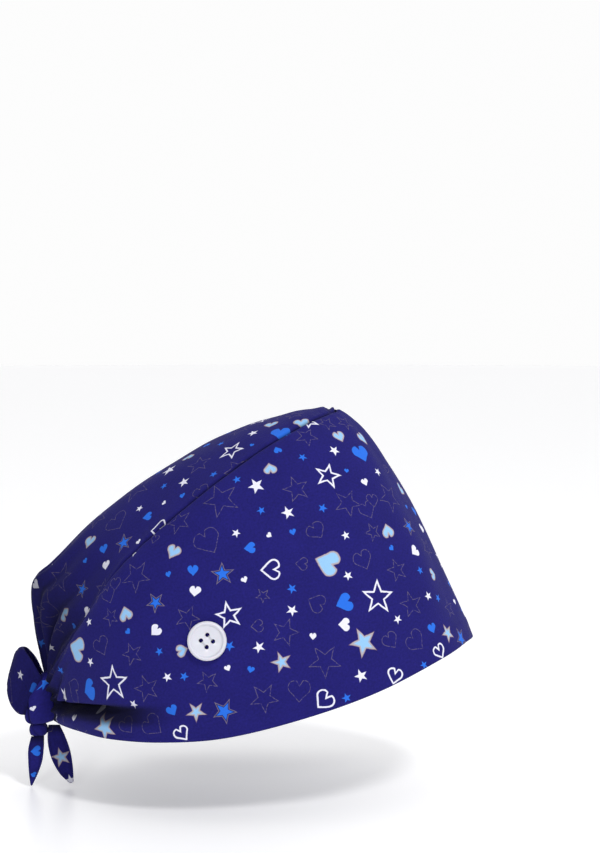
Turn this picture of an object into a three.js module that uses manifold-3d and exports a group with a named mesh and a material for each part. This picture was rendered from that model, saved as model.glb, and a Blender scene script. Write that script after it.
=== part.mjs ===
// Tie-back surgical scrub cap, in the shape that it has when worn.
// Millimetres. +X is towards the brow, +Y is the wearer's left, +Z is up.
// The origin is the centre of the head opening, at the height of the rim.
import * as THREE from "three";
import { mergeVertices } from "three/addons/utils/BufferGeometryUtils.js";
import Module from "manifold-3d";

const wasm = await Module();
wasm.setup();

// Driving dimensions.
const clothWall = 1.8;
const seamGap = 0.6;
const pieceGap = 0.35;
const columnStep = 0.25;
const bandRows = 13;
const crownRows = 12;
const crownStart = 0.25;

const button = {
  radius: 9.5, thickness: 3.2, rimWidth: 1.5, dishRadius: 7.2, dishDepth: 0.9, edgeRound: 1.0,
  holeRadius: 1.1, holeCircle: 2.9, holeTurn: -3, sides: 32, holeSides: 10,
  station: 5.22, height: 47.7,
};

const colour = {
  print: { color: 0x29257f, roughness: 0.85, metalness: 0 },
  button: { color: 0xe9e9f0, roughness: 0.35, metalness: 0 },
};

// Sections of one side of the cap, from the centre of the brow to the knot at the nape.
// Each runs from the rim, over the crown seam, to the ridge on the centre plane.
//   facing     the way that the cloth faces there, degrees from +X
//   rim, seam  points on the edges of the front and side panel
//   lean       how far the cloth leans inwards as it leaves the rim, degrees
//   rimReach   how far it keeps that lean
//   slope      how steeply the cloth falls where it leaves the crown seam, degrees
//   seamReach  how far it keeps that slope
//   ridge      X and Z on the centre plane
const sections = [
  { facing: 0, rim: [106, 0, 22.6], lean: 22, rimReach: 78, seam: [36, 0, 138.5], slope: 0, seamReach: 12,
    ridge: [36, 138.5] },
  { facing: 12, rim: [101.5, 23, 23.5], lean: 21, rimReach: 74, seam: [35, 7, 138.7], slope: 4, seamReach: 13,
    ridge: [33, 139.3] },
  { facing: 33, rim: [88, 48, 19.8], lean: 16, rimReach: 66, seam: [30.5, 14.5, 137.6], slope: 10, seamReach: 18,
    ridge: [26, 139.9] },
  { facing: 60, rim: [56, 70.5, 7.7], lean: 11, rimReach: 60, seam: [18.5, 26, 133], slope: 18, seamReach: 24,
    ridge: [12, 137.2] },
  { facing: 80, rim: [20, 78.5, -3.8], lean: 6, rimReach: 56, seam: [-1.5, 38, 122.2], slope: 26, seamReach: 26,
    ridge: [-8, 131.2] },
  { facing: 90, rim: [-18, 79.5, -13.2], lean: 2, rimReach: 50, seam: [-25, 46.5, 105.8], slope: 32, seamReach: 26,
    ridge: [-32, 120.5] },
  { facing: 98, rim: [-50, 74, -16.7], lean: -2, rimReach: 42, seam: [-50, 49.5, 85.4], slope: 36, seamReach: 22,
    ridge: [-58, 105] },
  { facing: 112, rim: [-76, 59, -18.3], lean: -4, rimReach: 30, seam: [-73, 47.5, 62.9], slope: 40, seamReach: 18,
    ridge: [-85, 84.5] },
  { facing: 130, rim: [-94, 38, -18.6], lean: -2, rimReach: 18, seam: [-92, 39, 34], slope: 46, seamReach: 13,
    ridge: [-110, 60] },
  { facing: 142, rim: [-102, 22, -19.6], lean: 0, rimReach: 11, seam: [-104, 24.5, 15.5], slope: 56, seamReach: 8,
    ridge: [-119.4, 43] },
  { facing: 150, rim: [-108.3, 6, -20.8], lean: 0, rimReach: 7, seam: [-111.6, 7, 1.9], slope: 66, seamReach: 6,
    ridge: [-113.3, 2.7] },
];
const lastSection = sections.length - 1;

// Folds of the front and side panel at the nape, on both sides.
//   from, to           sections between which the fold runs; it is deepest at `to`
//   heightFrom, heightTo  its distance above the rim at those sections
//   depth              how far it dips; a negative depth is a roll that stands out
//   halfWidth          half of its width across
const bandFolds = [
  { name: "nape_fold", from: 5.7, to: 9.2, heightFrom: 17, heightTo: 11, depth: 6.5, halfWidth: 6.5 },
  { name: "hem_roll", from: 6, to: 9, heightFrom: 6, heightTo: 3, depth: -1.8, halfWidth: 5 },
  { name: "upper_gather", from: 7.6, to: 9.6, heightFrom: 34, heightTo: 17, depth: 1.6, halfWidth: 4.5 },
];

// Gathers of the crown panel, which run down into the knot.
//   across  place across the panel, 0 at the ridge and 1 at the seam
const crownFolds = [
  { name: "side_gather", from: 7.4, to: 9.6, across: 0.52, depth: 5, halfWidth: 0.24 },
  { name: "rear_gather", from: 8.2, to: 9.8, across: 0.18, depth: 2.2, halfWidth: 0.16 },
];

// Catmull-Rom curve through one value of every section. Section 0 is on the centre plane, so the
// value before it is the next one mirrored: sign is -1 for values that change side there.
function through(value, place, sign) {
  const base = Math.min(Math.floor(place), lastSection - 1);
  const part = place - base;
  const at = (row) => {
    if (row < 0) return sign * value(sections[-row]);
    if (row > lastSection) return 2 * value(sections[lastSection]) - value(sections[lastSection - 1]);
    return value(sections[row]);
  };
  const [a, b, c, d] = [at(base - 1), at(base), at(base + 1), at(base + 2)];
  const slope = part * (c - a);
  const bend = part ** 2 * (2 * a - 5 * b + 4 * c - d);
  const twist = part ** 3 * (3 * b - a - 3 * c + d);
  return 0.5 * (2 * b + slope + bend + twist);
}

const radians = THREE.MathUtils.degToRad;

function sectionAt(place) {
  const point = (name) => new THREE.Vector3(
    through((row) => row[name][0], place, 1),
    through((row) => row[name][1], place, -1),
    through((row) => row[name][2], place, 1),
  );
  const facing = radians(through((row) => row.facing, place, -1));
  return {
    rim: point("rim"),
    seam: point("seam"),
    out: new THREE.Vector3(Math.cos(facing), Math.sin(facing), 0),
    lean: radians(through((row) => row.lean, place, 1)),
    slope: radians(through((row) => row.slope, place, 1)),
    rimReach: through((row) => row.rimReach, place, 1),
    seamReach: through((row) => row.seamReach, place, 1),
    ridge: new THREE.Vector3(through((row) => row.ridge[0], place, 1), 0,
      through((row) => row.ridge[1], place, 1)),
  };
}

const up = new THREE.Vector3(0, 0, 1);
const along = (out, outwards, upwards) => out.clone().multiplyScalar(outwards).addScaledVector(up, upwards);

// Line of the front and side panel from the rim to the crown seam.
function bandLine(place) {
  const { rim, seam, out, lean, slope, rimReach, seamReach } = sectionAt(place);
  const leaves = along(out, -Math.sin(lean), Math.cos(lean));
  const arrives = along(out, Math.cos(slope), -Math.sin(slope));
  return new THREE.CubicBezierCurve3(rim, rim.clone().addScaledVector(leaves, rimReach),
    seam.clone().addScaledVector(arrives, seamReach), seam);
}

// Line of the crown panel from the seam to the ridge. It carries on from the side panel's slope.
const seamCarry = 0.33;
const ridgeCarry = 0.45;
function crownLine(place) {
  const { seam, out, slope, ridge } = sectionAt(place);
  const leaves = along(out, -Math.cos(slope), Math.sin(slope));
  const level = new THREE.Vector3(0, 1, 0);
  return new THREE.CubicBezierCurve3(seam, seam.clone().addScaledVector(leaves, seamCarry * seam.y),
    ridge.clone().addScaledVector(level, ridgeCarry * seam.y), ridge);
}

const smooth = (share) => THREE.MathUtils.smootherstep(share, 0, 1);
const hump = (offset) => (Math.abs(offset) < 1 ? Math.cos(offset * Math.PI / 2) ** 2 : 0);
const mirrorY = (point) => new THREE.Vector3(point.x, -point.y, point.z);

// Direction of a row of points at one of them, fitted through three points at its ends.
function direction(points, k) {
  const last = points.length - 1;
  if (k === 0) return direction([...points].reverse(), last).negate();
  if (k < last) return points[k + 1].clone().sub(points[k - 1]);
  return points[last].clone().multiplyScalar(3).addScaledVector(points[last - 1], -4).add(points[last - 2]);
}

// A grid of points is a list of columns. Its normals point out of the cap.
function gridNormals(grid) {
  return grid.map((column, i) => column.map((_, j) => {
    const row = grid.map((other) => other[j]);
    return direction(row, i).cross(direction(column, j)).normalize();
  }));
}

function pushed(grid, distance) {
  const normals = gridNormals(grid);
  return grid.map((column, i) => column.map((point, j) => {
    return point.clone().addScaledVector(normals[i][j], distance(i, j));
  }));
}

// Closed body from triangles that share corners.
function bodyFrom(points, corners) {
  const geometry = new THREE.BufferGeometry();
  geometry.setAttribute("position", new THREE.Float32BufferAttribute(points.flatMap((p) => p.toArray()), 3));
  geometry.setIndex(corners);
  geometry.computeVertexNormals();
  return geometry;
}

// Cloth wall: the outer grid, the same grid pushed inwards, and a strip round the edge.
function wallBody(outer, wall) {
  const inner = pushed(outer, () => -wall);
  const wide = outer.length;
  const tall = outer[0].length;
  const points = [...outer.flat(), ...inner.flat()];
  const at = (side, i, j) => side * wide * tall + i * tall + j;
  const corners = [];
  const quad = (a, b, c, d) => corners.push(a, b, c, a, c, d);
  for (let i = 0; i < wide - 1; i += 1) {
    for (let j = 0; j < tall - 1; j += 1) {
      quad(at(0, i, j), at(0, i + 1, j), at(0, i + 1, j + 1), at(0, i, j + 1));
      quad(at(1, i, j), at(1, i, j + 1), at(1, i + 1, j + 1), at(1, i + 1, j));
    }
  }
  const top = tall - 1;
  const end = wide - 1;
  for (let i = 0; i < end; i += 1) {
    quad(at(0, i, 0), at(1, i, 0), at(1, i + 1, 0), at(0, i + 1, 0));
    quad(at(0, i, top), at(0, i + 1, top), at(1, i + 1, top), at(1, i, top));
  }
  for (let j = 0; j < top; j += 1) {
    quad(at(0, 0, j), at(0, 0, j + 1), at(1, 0, j + 1), at(1, 0, j));
    quad(at(0, end, j), at(1, end, j), at(1, end, j + 1), at(0, end, j + 1));
  }
  return bodyFrom(points, corners);
}

// Rows are closer at the rim and the seam, where the cloth bends most.
const bandShare = (row) => {
  const even = row / bandRows;
  return 0.72 * even + 0.28 * smooth(even);
};

function bandFoldDepth(place, height) {
  return bandFolds.reduce((depth, fold) => {
    const share = THREE.MathUtils.clamp((place - fold.from) / (fold.to - fold.from), 0, 1);
    const centre = THREE.MathUtils.lerp(fold.heightFrom, fold.heightTo, share);
    return depth + fold.depth * smooth(share) * hump((height - centre) / fold.halfWidth);
  }, 0);
}

// Columns run from the right end at the knot, round the brow, to the left end.
function bandGrid() {
  const columns = Math.round(2 * lastSection / columnStep);
  const places = Array.from({ length: columns + 1 }, (_, i) => i * columnStep - lastSection);
  const heights = [];
  const plain = places.map((place) => {
    const line = bandLine(Math.abs(place));
    const length = line.getLength();
    heights.push(length);
    return Array.from({ length: bandRows + 1 }, (_, j) => {
      const point = line.getPointAt(bandShare(j));
      return place < 0 ? mirrorY(point) : point;
    });
  });
  return pushed(plain, (i, j) => -bandFoldDepth(Math.abs(places[i]), bandShare(j) * heights[i]));
}

function crownFoldDepth(place, across) {
  return crownFolds.reduce((depth, fold) => {
    const share = THREE.MathUtils.clamp((place - fold.from) / (fold.to - fold.from), 0, 1);
    return depth + fold.depth * smooth(share) * hump((across - fold.across) / fold.halfWidth);
  }, 0);
}

// Columns run from the brow to the knot; each crosses from the left seam to the right one.
function crownGrid() {
  const half = crownRows / 2;
  const places = [];
  for (let place = crownStart; place <= lastSection; place += columnStep) places.push(place);
  const across = (row) => Math.abs(row - half) / half;
  const plain = places.map((place) => {
    const line = crownLine(place);
    const inset = seamGap / line.getLength();
    return Array.from({ length: crownRows + 1 }, (_, row) => {
      const point = line.getPointAt(1 - across(row) * (1 - inset));
      return row > half ? mirrorY(point) : point;
    });
  });
  return pushed(plain, (i, row) => -crownFoldDepth(places[i], across(row)));
}

// Body lofted through closed rings of points, with a fan over each end.
function loftBody(rings) {
  const count = rings[0].length;
  const points = rings.flat();
  const corners = [];
  for (let k = 0; k < rings.length - 1; k += 1) {
    for (let i = 0; i < count; i += 1) {
      const next = (i + 1) % count;
      const [a, b, c, d] = [k * count + i, k * count + next, (k + 1) * count + next, (k + 1) * count + i];
      corners.push(a, b, c, a, c, d);
    }
  }
  const last = (rings.length - 1) * count;
  for (let i = 1; i < count - 1; i += 1) {
    corners.push(0, i + 1, i, last, last + i, last + i + 1);
  }
  return bodyFrom(points, corners);
}

// Ring of a strap: a flat section with round edges, `width` along `wide` and `thick` along `flat`.
const ringSides = 10;
const squareness = 0.55;
function strapRing(centre, wide, flat, width, thick) {
  return Array.from({ length: ringSides }, (_, i) => {
    const turn = 2 * Math.PI * (i + 0.5) / ringSides;
    const [c, s] = [Math.cos(turn), Math.sin(turn)];
    const x = Math.sign(c) * Math.abs(c) ** squareness * width / 2;
    const y = Math.sign(s) * Math.abs(s) ** squareness * thick / 2;
    return centre.clone().addScaledVector(wide, x).addScaledVector(flat, y);
  });
}

// Strap through a table of places: at is its centre line, wide its width's direction in the
// centre plane (degrees from +X), width and thick its section there.
const strapSteps = 4;
function strapBody(table) {
  const path = new THREE.CatmullRomCurve3(table.map((row) => new THREE.Vector3(...row.at)), false, "centripetal");
  const steps = (table.length - 1) * strapSteps;
  const rings = Array.from({ length: steps + 1 }, (_, k) => {
    const place = k / strapSteps;
    const row = Math.min(Math.floor(place), table.length - 2);
    const mixed = (name) => THREE.MathUtils.lerp(table[row][name], table[row + 1][name], smooth(place - row));
    const turn = radians(mixed("wide"));
    const wide = new THREE.Vector3(Math.cos(turn), 0, Math.sin(turn));
    const flat = path.getTangent(k / steps).cross(wide).normalize();
    return strapRing(path.getPoint(k / steps), wide, flat, mixed("width"), mixed("thick"));
  });
  return loftBody(rings);
}

// The upstanding loop: out of the knot on the right, round its bend, and back on the left.
const loopTable = [
  { at: [-122.2, -5, -6.2], wide: 62.5, width: 21, thick: 2.4 },
  { at: [-125.6, -6.8, -0.6], wide: 66, width: 26, thick: 2 },
  { at: [-129.2, -4.8, 4.6], wide: 72, width: 27, thick: 1.9 },
  { at: [-130.4, 0, 6], wide: 74, width: 27, thick: 1.9 },
  { at: [-129.2, 4.8, 4.6], wide: 72, width: 27, thick: 1.9 },
  { at: [-125.6, 6.8, -0.6], wide: 66, width: 26, thick: 2 },
  { at: [-122.2, 5, -6.2], wide: 62.5, width: 21, thick: 2.4 },
];

const outerTailTable = [
  { at: [-117.6, -2.4, -29.6], wide: 2, width: 6.6, thick: 3.4 },
  { at: [-118.4, -3.4, -36], wide: 2, width: 8, thick: 2.6 },
  { at: [-118.9, -3.8, -43], wide: 0, width: 7, thick: 2.2 },
  { at: [-120, -3.6, -50], wide: 0, width: 4, thick: 1.9 },
  { at: [-121, -3, -55.2], wide: 0, width: 0.8, thick: 1 },
];

const innerTailTable = [
  { at: [-109.2, -1.6, -23.8], wide: 0, width: 5.8, thick: 3.6 },
  { at: [-107.8, -3, -31], wide: 12, width: 9.4, thick: 2.8 },
  { at: [-105.6, -3.8, -39], wide: 18, width: 10.4, thick: 2.3 },
  { at: [-102.9, -4, -47], wide: 24, width: 7.6, thick: 2 },
  { at: [-100.2, -3.6, -53.6], wide: 20, width: 2.2, thick: 1.2 },
];

// Turns of tie cloth: closed rounded bodies, lofted through level rings from the top down.
//   x, y, z      centre of the ring
//   deep, broad  its size along X and along Y
const knotTable = [
  { x: -113.8, y: 0, z: 1.2, deep: 3.6, broad: 8 },
  { x: -114.6, y: 0, z: -1, deep: 6.2, broad: 12 },
  { x: -115.8, y: 0, z: -6, deep: 9, broad: 15 },
  { x: -116.4, y: 0, z: -12, deep: 12.2, broad: 16 },
  { x: -116.3, y: 0, z: -17, deep: 13.6, broad: 15.5 },
  { x: -115.6, y: 0, z: -21, deep: 12.4, broad: 13.5 },
  { x: -115.4, y: 0, z: -22.9, deep: 9.2, broad: 10 },
];

const collarTable = [
  { x: -117.2, y: -1.2, z: -23.3, deep: 7, broad: 7.4 },
  { x: -117.2, y: -1.4, z: -24.8, deep: 8.8, broad: 9 },
  { x: -117.2, y: -1.6, z: -27.4, deep: 8.8, broad: 9 },
  { x: -117.4, y: -1.8, z: -28.9, deep: 7.2, broad: 7.6 },
];

function turnBody(table) {
  const [acrossX, acrossY] = [new THREE.Vector3(1, 0, 0), new THREE.Vector3(0, 1, 0)];
  const rings = table.map((row) => {
    const centre = new THREE.Vector3(row.x, row.y, row.z);
    return strapRing(centre, acrossX, acrossY, row.deep, row.broad).reverse();
  });
  return loftBody(rings);
}

// manifold-3d solid from a closed geometry, and back.
function solidOf(geometry) {
  const bare = geometry.clone();
  bare.deleteAttribute("normal");
  bare.deleteAttribute("uv");
  const merged = mergeVertices(bare, 1e-4);
  return new wasm.Manifold(new wasm.Mesh({
    numProp: 3,
    vertProperties: new Float32Array(merged.attributes.position.array),
    triVerts: new Uint32Array(merged.index.array),
  }));
}

function geometryOf(solid) {
  const mesh = solid.getMesh();
  const geometry = new THREE.BufferGeometry();
  geometry.setAttribute("position", new THREE.BufferAttribute(new Float32Array(mesh.vertProperties), 3));
  geometry.setIndex(new THREE.BufferAttribute(new Uint32Array(mesh.triVerts), 1));
  geometry.computeVertexNormals();
  return geometry;
}

// Round button with a raised rim, a flat dish and four holes. Its back is at Z = 0.
function buttonBody() {
  const { radius, thickness, rimWidth, dishRadius, dishDepth, edgeRound } = button;
  const floor = thickness - dishDepth;
  const profile = [
    [0, 0], [radius - edgeRound, 0], [radius, edgeRound], [radius, thickness - edgeRound],
    [radius - 0.3 * edgeRound, thickness - 0.3 * edgeRound], [radius - edgeRound, thickness],
    [radius - rimWidth, thickness], [dishRadius, floor], [0, floor],
  ].map(([x, y]) => new THREE.Vector2(x, y));
  const disc = new THREE.LatheGeometry(profile, button.sides);
  disc.rotateX(Math.PI / 2);
  let solid = solidOf(disc);
  for (let hole = 0; hole < 4; hole += 1) {
    const turn = radians(button.holeTurn + 90 * hole);
    const drill = new THREE.CylinderGeometry(button.holeRadius, button.holeRadius, 3 * thickness,
      button.holeSides);
    drill.rotateX(Math.PI / 2);
    drill.translate(button.holeCircle * Math.cos(turn), button.holeCircle * Math.sin(turn), 0);
    solid = solid.subtract(solidOf(drill));
  }
  return geometryOf(solid);
}

// Point on the side panel at the button, and the normal there.
function buttonPlace() {
  const nearby = 0.1;
  const point = (place, height) => {
    const line = bandLine(place);
    return line.getPointAt(height / line.getLength());
  };
  const centre = point(button.station, button.height);
  const back = point(button.station + nearby, button.height).sub(centre);
  const rise = point(button.station, button.height + 1).sub(centre);
  return { centre, normal: back.cross(rise).normalize() };
}

function buttonMesh(side) {
  const { centre, normal } = buttonPlace();
  if (side < 0) {
    centre.y *= -1;
    normal.y *= -1;
  }
  const mesh = piece(side < 0 ? "button_right" : "button_left", buttonBody(), colour.button);
  const upright = up.clone().addScaledVector(normal, -up.dot(normal)).normalize();
  const level = upright.clone().cross(normal);
  mesh.quaternion.setFromRotationMatrix(new THREE.Matrix4().makeBasis(level, upright, normal));
  mesh.position.copy(centre).addScaledVector(normal, pieceGap);
  return mesh;
}

function piece(name, geometry, look) {
  const mesh = new THREE.Mesh(geometry, new THREE.MeshStandardMaterial(look));
  mesh.name = name;
  return mesh;
}

const cap = new THREE.Group();
cap.add(piece("band_panel", wallBody(bandGrid(), clothWall), colour.print));
cap.add(piece("crown_panel", wallBody(crownGrid(), clothWall), colour.print));
cap.add(buttonMesh(-1), buttonMesh(1));
cap.add(piece("tie_knot", turnBody(knotTable), colour.print));
cap.add(piece("tie_collar", turnBody(collarTable), colour.print));
cap.add(piece("tie_loop", strapBody(loopTable), colour.print));
cap.add(piece("tie_tail_outer", strapBody(outerTailTable), colour.print));
cap.add(piece("tie_tail_inner", strapBody(innerTailTable), colour.print));

export default cap;
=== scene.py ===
"""Looks of the tie-back surgical scrub cap: printed cotton cloth, two buttons and the knotted tie.

Tables are in millimetres and degrees, in the frame of the CAD model: +X is towards the brow,
+Y is the wearer's left, +Z is up. The cap's right side faces the camera.
"""
import math

import bpy
import numpy as np
from mathutils import Matrix, Vector


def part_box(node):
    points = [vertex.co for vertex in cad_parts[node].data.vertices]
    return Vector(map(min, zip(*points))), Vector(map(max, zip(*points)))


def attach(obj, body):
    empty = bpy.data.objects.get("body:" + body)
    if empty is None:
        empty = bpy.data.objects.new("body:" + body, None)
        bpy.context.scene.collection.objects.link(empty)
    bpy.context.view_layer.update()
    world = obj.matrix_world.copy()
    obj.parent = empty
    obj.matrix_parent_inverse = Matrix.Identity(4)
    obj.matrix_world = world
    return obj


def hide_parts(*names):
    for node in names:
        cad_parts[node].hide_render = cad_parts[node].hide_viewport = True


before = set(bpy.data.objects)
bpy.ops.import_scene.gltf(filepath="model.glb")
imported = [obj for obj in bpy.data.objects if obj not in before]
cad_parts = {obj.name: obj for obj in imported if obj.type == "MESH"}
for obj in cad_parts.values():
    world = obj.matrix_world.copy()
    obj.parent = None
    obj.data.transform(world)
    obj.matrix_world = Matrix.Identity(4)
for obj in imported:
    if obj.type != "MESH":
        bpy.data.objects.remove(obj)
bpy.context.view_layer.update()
MM = 0.001

# ---------------------------------------------------------------- shape of the cap, as in the CAD

# Sections of one side of the cap, from the centre of the brow to the knot at the nape.
#   facing     the way that the cloth faces there, degrees from +X
#   rim, seam  points on the edges of the front and side panel
#   lean       how far the cloth leans inwards as it leaves the rim, and for how long
#   slope      how steeply the cloth falls where it leaves the crown seam, and for how long
#   ridge      X and Z on the centre plane
SECTION_COLUMNS = (
    "facing", "rim_x", "rim_y", "rim_z", "lean", "rim_reach",
    "seam_x", "seam_y", "seam_z", "slope", "seam_reach", "ridge_x", "ridge_z",
)
SECTIONS = np.array([
    (0, 106, 0, 22.6, 22, 78, 36, 0, 138.5, 0, 12, 36, 138.5),
    (12, 101.5, 23, 23.5, 21, 74, 35, 7, 138.7, 4, 13, 33, 139.3),
    (33, 88, 48, 19.8, 16, 66, 30.5, 14.5, 137.6, 10, 18, 26, 139.9),
    (60, 56, 70.5, 7.7, 11, 60, 18.5, 26, 133, 18, 24, 12, 137.2),
    (80, 20, 78.5, -3.8, 6, 56, -1.5, 38, 122.2, 26, 26, -8, 131.2),
    (90, -18, 79.5, -13.2, 2, 50, -25, 46.5, 105.8, 32, 26, -32, 120.5),
    (98, -50, 74, -16.7, -2, 42, -50, 49.5, 85.4, 36, 22, -58, 105),
    (112, -76, 59, -18.3, -4, 30, -73, 47.5, 62.9, 40, 18, -85, 84.5),
    (130, -94, 38, -18.6, -2, 18, -92, 39, 34, 46, 13, -110, 60),
    (142, -102, 22, -19.6, 0, 11, -104, 24.5, 15.5, 56, 8, -119.4, 43),
    (150, -108.3, 6, -20.8, 0, 7, -111.6, 7, 1.9, 66, 6, -113.3, 2.7),
], float)
LAST = len(SECTIONS) - 1
CHANGE_SIDE = ("facing", "rim_y", "seam_y")
SEAM_CARRY = 0.33
RIDGE_CARRY = 0.45
SEAM_GAP = 0.6
CROWN_START = 0.25

# Folds that the CAD model has too. Each runs between two sections and is deepest at the last.
# Its height is its distance above the rim at those sections, and a negative depth stands out.
#   first, last, height_first, height_last, depth, half_width
BAND_FOLDS = [
    (5.7, 9.2, 17, 11, 6.5, 6.5),
    (6, 9, 6, 3, -1.8, 5),
    (7.6, 9.6, 34, 17, 1.6, 4.5),
]
# Across is the place across the crown panel, 0 at the ridge and 1 at the seam.
#   first, last, across, depth, half_width
CROWN_FOLDS = [
    (7.4, 9.6, 0.52, 5, 0.24),
    (8.2, 9.8, 0.18, 2.2, 0.16),
]

BUTTON = {
    "radius": 9.5, "thickness": 3.2, "rim_width": 1.5, "dish_radius": 7.2, "dish_depth": 0.9,
    "edge_round": 1.0, "hole_radius": 1.1, "hole_circle": 2.9, "hole_turn": -3,
    "station": 5.22, "height": 47.7,
}
PIECE_GAP = 0.35

# Centre line of each strap (x, y, z), direction of its width in the centre plane, its width and
# its thickness.
STRAP_COLUMNS = ("x", "y", "z", "wide", "width", "thick")
LOOP = [
    (-117.5, -3.2, -9.5, 62, 20, 2.8),
    (-121.6, -5.2, -6.6, 62.5, 23.5, 2.4),
    (-125.6, -6.8, -0.6, 66, 26, 2),
    (-129.2, -4.8, 4.6, 72, 27, 1.9),
    (-130.4, 0, 6, 74, 27, 1.9),
    (-129.2, 4.8, 4.6, 72, 27, 1.9),
    (-125.6, 6.8, -0.6, 66, 26, 2),
    (-121.6, 5.2, -6.6, 62.5, 23.5, 2.4),
    (-117.5, 3.2, -9.5, 62, 20, 2.8),
]
OUTER_TAIL = [
    (-117.6, -2.4, -29.6, 2, 6.6, 3.4),
    (-118.4, -3.4, -36, 2, 8, 2.6),
    (-118.9, -3.8, -43, 0, 7, 2.2),
    (-120, -3.6, -50, 0, 4, 1.9),
    (-121, -3, -55.2, 0, 0.8, 1),
]
INNER_TAIL = [
    (-109.2, -1.6, -23.8, 0, 5.8, 3.6),
    (-107.8, -3, -31, 12, 9.4, 2.8),
    (-105.6, -3.8, -39, 18, 10.4, 2.3),
    (-102.9, -4, -47, 24, 7.6, 2),
    (-100.2, -3.6, -53.6, 20, 2.2, 1.2),
]
# Rings of a turn of cloth, from the top down: centre, size along X and size along Y, and how
# much each ring rises towards +X. The knot is fuller towards the cap than in the CAD, so that
# no light shows between it and the end of the band.
TURN_COLUMNS = ("x", "y", "z", "deep", "broad", "rise")
KNOT = [
    (-116, 0, 2, 2.4, 5, 1),
    (-115.4, 0, -0.6, 13, 11, 1),
    (-115.6, 0, -6, 17.4, 15, 0.6),
    (-115.2, 0, -13, 18.6, 16.4, 0.3),
    (-114.7, 0, -19.4, 18.4, 16, 0.17),
    (-115.4, 0, -22, 12.8, 13, 0.15),
    (-116, 0, -22.9, 7, 9, 0.1),
]
COLLAR = [
    (-117.2, -1.2, -23.1, 7, 7.4, 0),
    (-117.2, -1.4, -24.6, 9.2, 9, 0),
    (-117.2, -1.6, -27.4, 9.2, 9, 0),
    (-117.4, -1.8, -28.9, 7.2, 7.6, 0),
]

# ---------------------------------------------------------------- the print

# One repeat of the print, drawn one by one. X runs along the grain from near the centre of the
# right button, Y across it, upwards. Each motif is x, y, size, turn.
#   size  radius of a star from centre to tip, or width of a heart
#   turn  degrees anticlockwise from a star with one tip up, or a heart with its tip down
REPEAT = (138, 150)
STARS = {
    "white_line": [(13, 8, 6.8, -4), (85, -5, 8.7, -15), (81, 59, 7, 40), (89, 93, 6, 0)],
    "white": [
        (45, 65, 4.3, 10), (91, 71, 3, 20), (55, 47, 3.3, 5), (28, 45, 2.2, 30), (78, 28, 2.2, 0),
        (73, 9, 2.4, 15), (42, 1, 2.9, 24), (22, -11, 3, 10), (92, -18, 2.3, 25), (65, -39, 3.3, 5),
        (-24, -11, 2.4, 12), (-27, 55, 2.3, 28),
    ],
    "light_gold": [(71, -24, 7.2, 10), (30, -21, 4.9, 2), (-16, -31, 4.7, 20)],
    "blue_gold": [(16, 28, 5.4, 60), (-19, 25, 4.8, 16), (-3, -35, 6, 30)],
    "blue": [
        (37, 72, 2.3, 0), (73, 72, 2.2, 20), (43, 52, 2.1, 10), (72, 44, 2.3, 34), (45, 11, 2.5, 8),
        (9, -6, 2.5, 20), (-24, 2, 2.1, 12), (-16, -13, 2.2, 30), (55, -47, 2.4, 5), (100, -43, 2.2, 18),
        (73, 90, 2.4, 10),
    ],
    "dotted": [
        (26, 64, 9.5, 8), (81, 83, 6, 20), (63, 57, 6.5, 0), (85, 43, 7, 30), (93, 26, 4.5, 12),
        (31, 12, 3.4, 15), (100, 5, 5.5, 4), (36, -8, 6.6, 36), (50, -27, 8, 20), (102, -13, 6.5, 0),
        (17, -35, 7, 25), (-6, -19, 5, 10), (-26, 41, 8, 22), (2, 61, 7, 5), (-6, 13, 6, 30),
        (98, 88, 5, 12), (-28, 86, 5, 18),
    ],
}
HEARTS = {
    "white_line": [(38, 23, 10, -105), (44, -45, 10, -60), (82, -44, 8.5, -30), (-26, -39, 8, 20)],
    "white": [
        (1, 24, 5.5, -24), (-23, 12, 6, -64), (64, -13, 6.2, -104), (99, 51, 4, 0), (43, 39, 2.8, 40),
        (25, 22, 3, 10), (48, -14, 3.4, -15), (5, -16, 3.2, 10), (2, 67, 2.5, 20),
    ],
    "light_gold": [
        (65, 18, 12.4, -125), (55, 72, 6.5, 170), (99, 78, 7, 0), (-36, 25, 7.5, 180), (-4, 46, 7.5, -45),
        (-13, -1, 6, 90), (-22, 75, 8, 20),
    ],
    "blue": [
        (67, -3, 9, -85), (-32, 66, 10, 0), (32, 36, 5.6, -100), (3, 34, 5.5, -15), (-27, -27, 5.8, 10),
        (63, 81, 4.5, 180), (54, 37, 3.3, 0), (-37, 16, 3, 30), (-9, 36, 2.8, 0), (15, -20, 3.4, -30),
        (92, 59, 2.5, -20),
    ],
    "dotted": [
        (14, 45, 13, 15), (99, 41, 7, -10), (65, 34, 9, 20), (53, 21, 6, -110), (83, 14, 10, 10),
        (24, -1, 6, -100), (54, 1, 9, -130), (85, -27, 8.5, 20), (34, -37, 11, -20), (99, -31, 11, 35),
        (-44, 37, 9, 10), (-13, 57, 5, -30),
    ],
}
LOOKS = ("white_line", "white", "light_gold", "blue_gold", "blue", "dotted")
# How the print lies on the band: its turn from level at the button, and its shift from it.
GRAIN_TURN = 18.9
PRINT_SHIFT = (1.3, 0.7)

INK = {
    "white": (236, 236, 250), "light": (150, 199, 241), "blue": (40, 112, 226),
    "gold": (186, 150, 128), "line": (150, 138, 132),
}
CLOTH = (30, 27, 106)
CLOTH_REVERSE = (52, 51, 112)
BUTTON_COLOUR = (216, 217, 226)
THREAD_COLOUR = (208, 209, 216)
FOLD_SHADE = (0.0008, 0.0008, 0.006, 1)


def linear(colour):
    """Linear RGBA of an sRGB colour from 0 to 255."""
    return tuple(((c / 255 + 0.055) / 1.055) ** 2.4 if c > 10 else c / 255 / 12.92 for c in colour) + (1,)


# ---------------------------------------------------------------- curves and grids

def column_of(table, columns, name):
    return np.array([row[columns.index(name)] for row in table], float)


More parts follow.
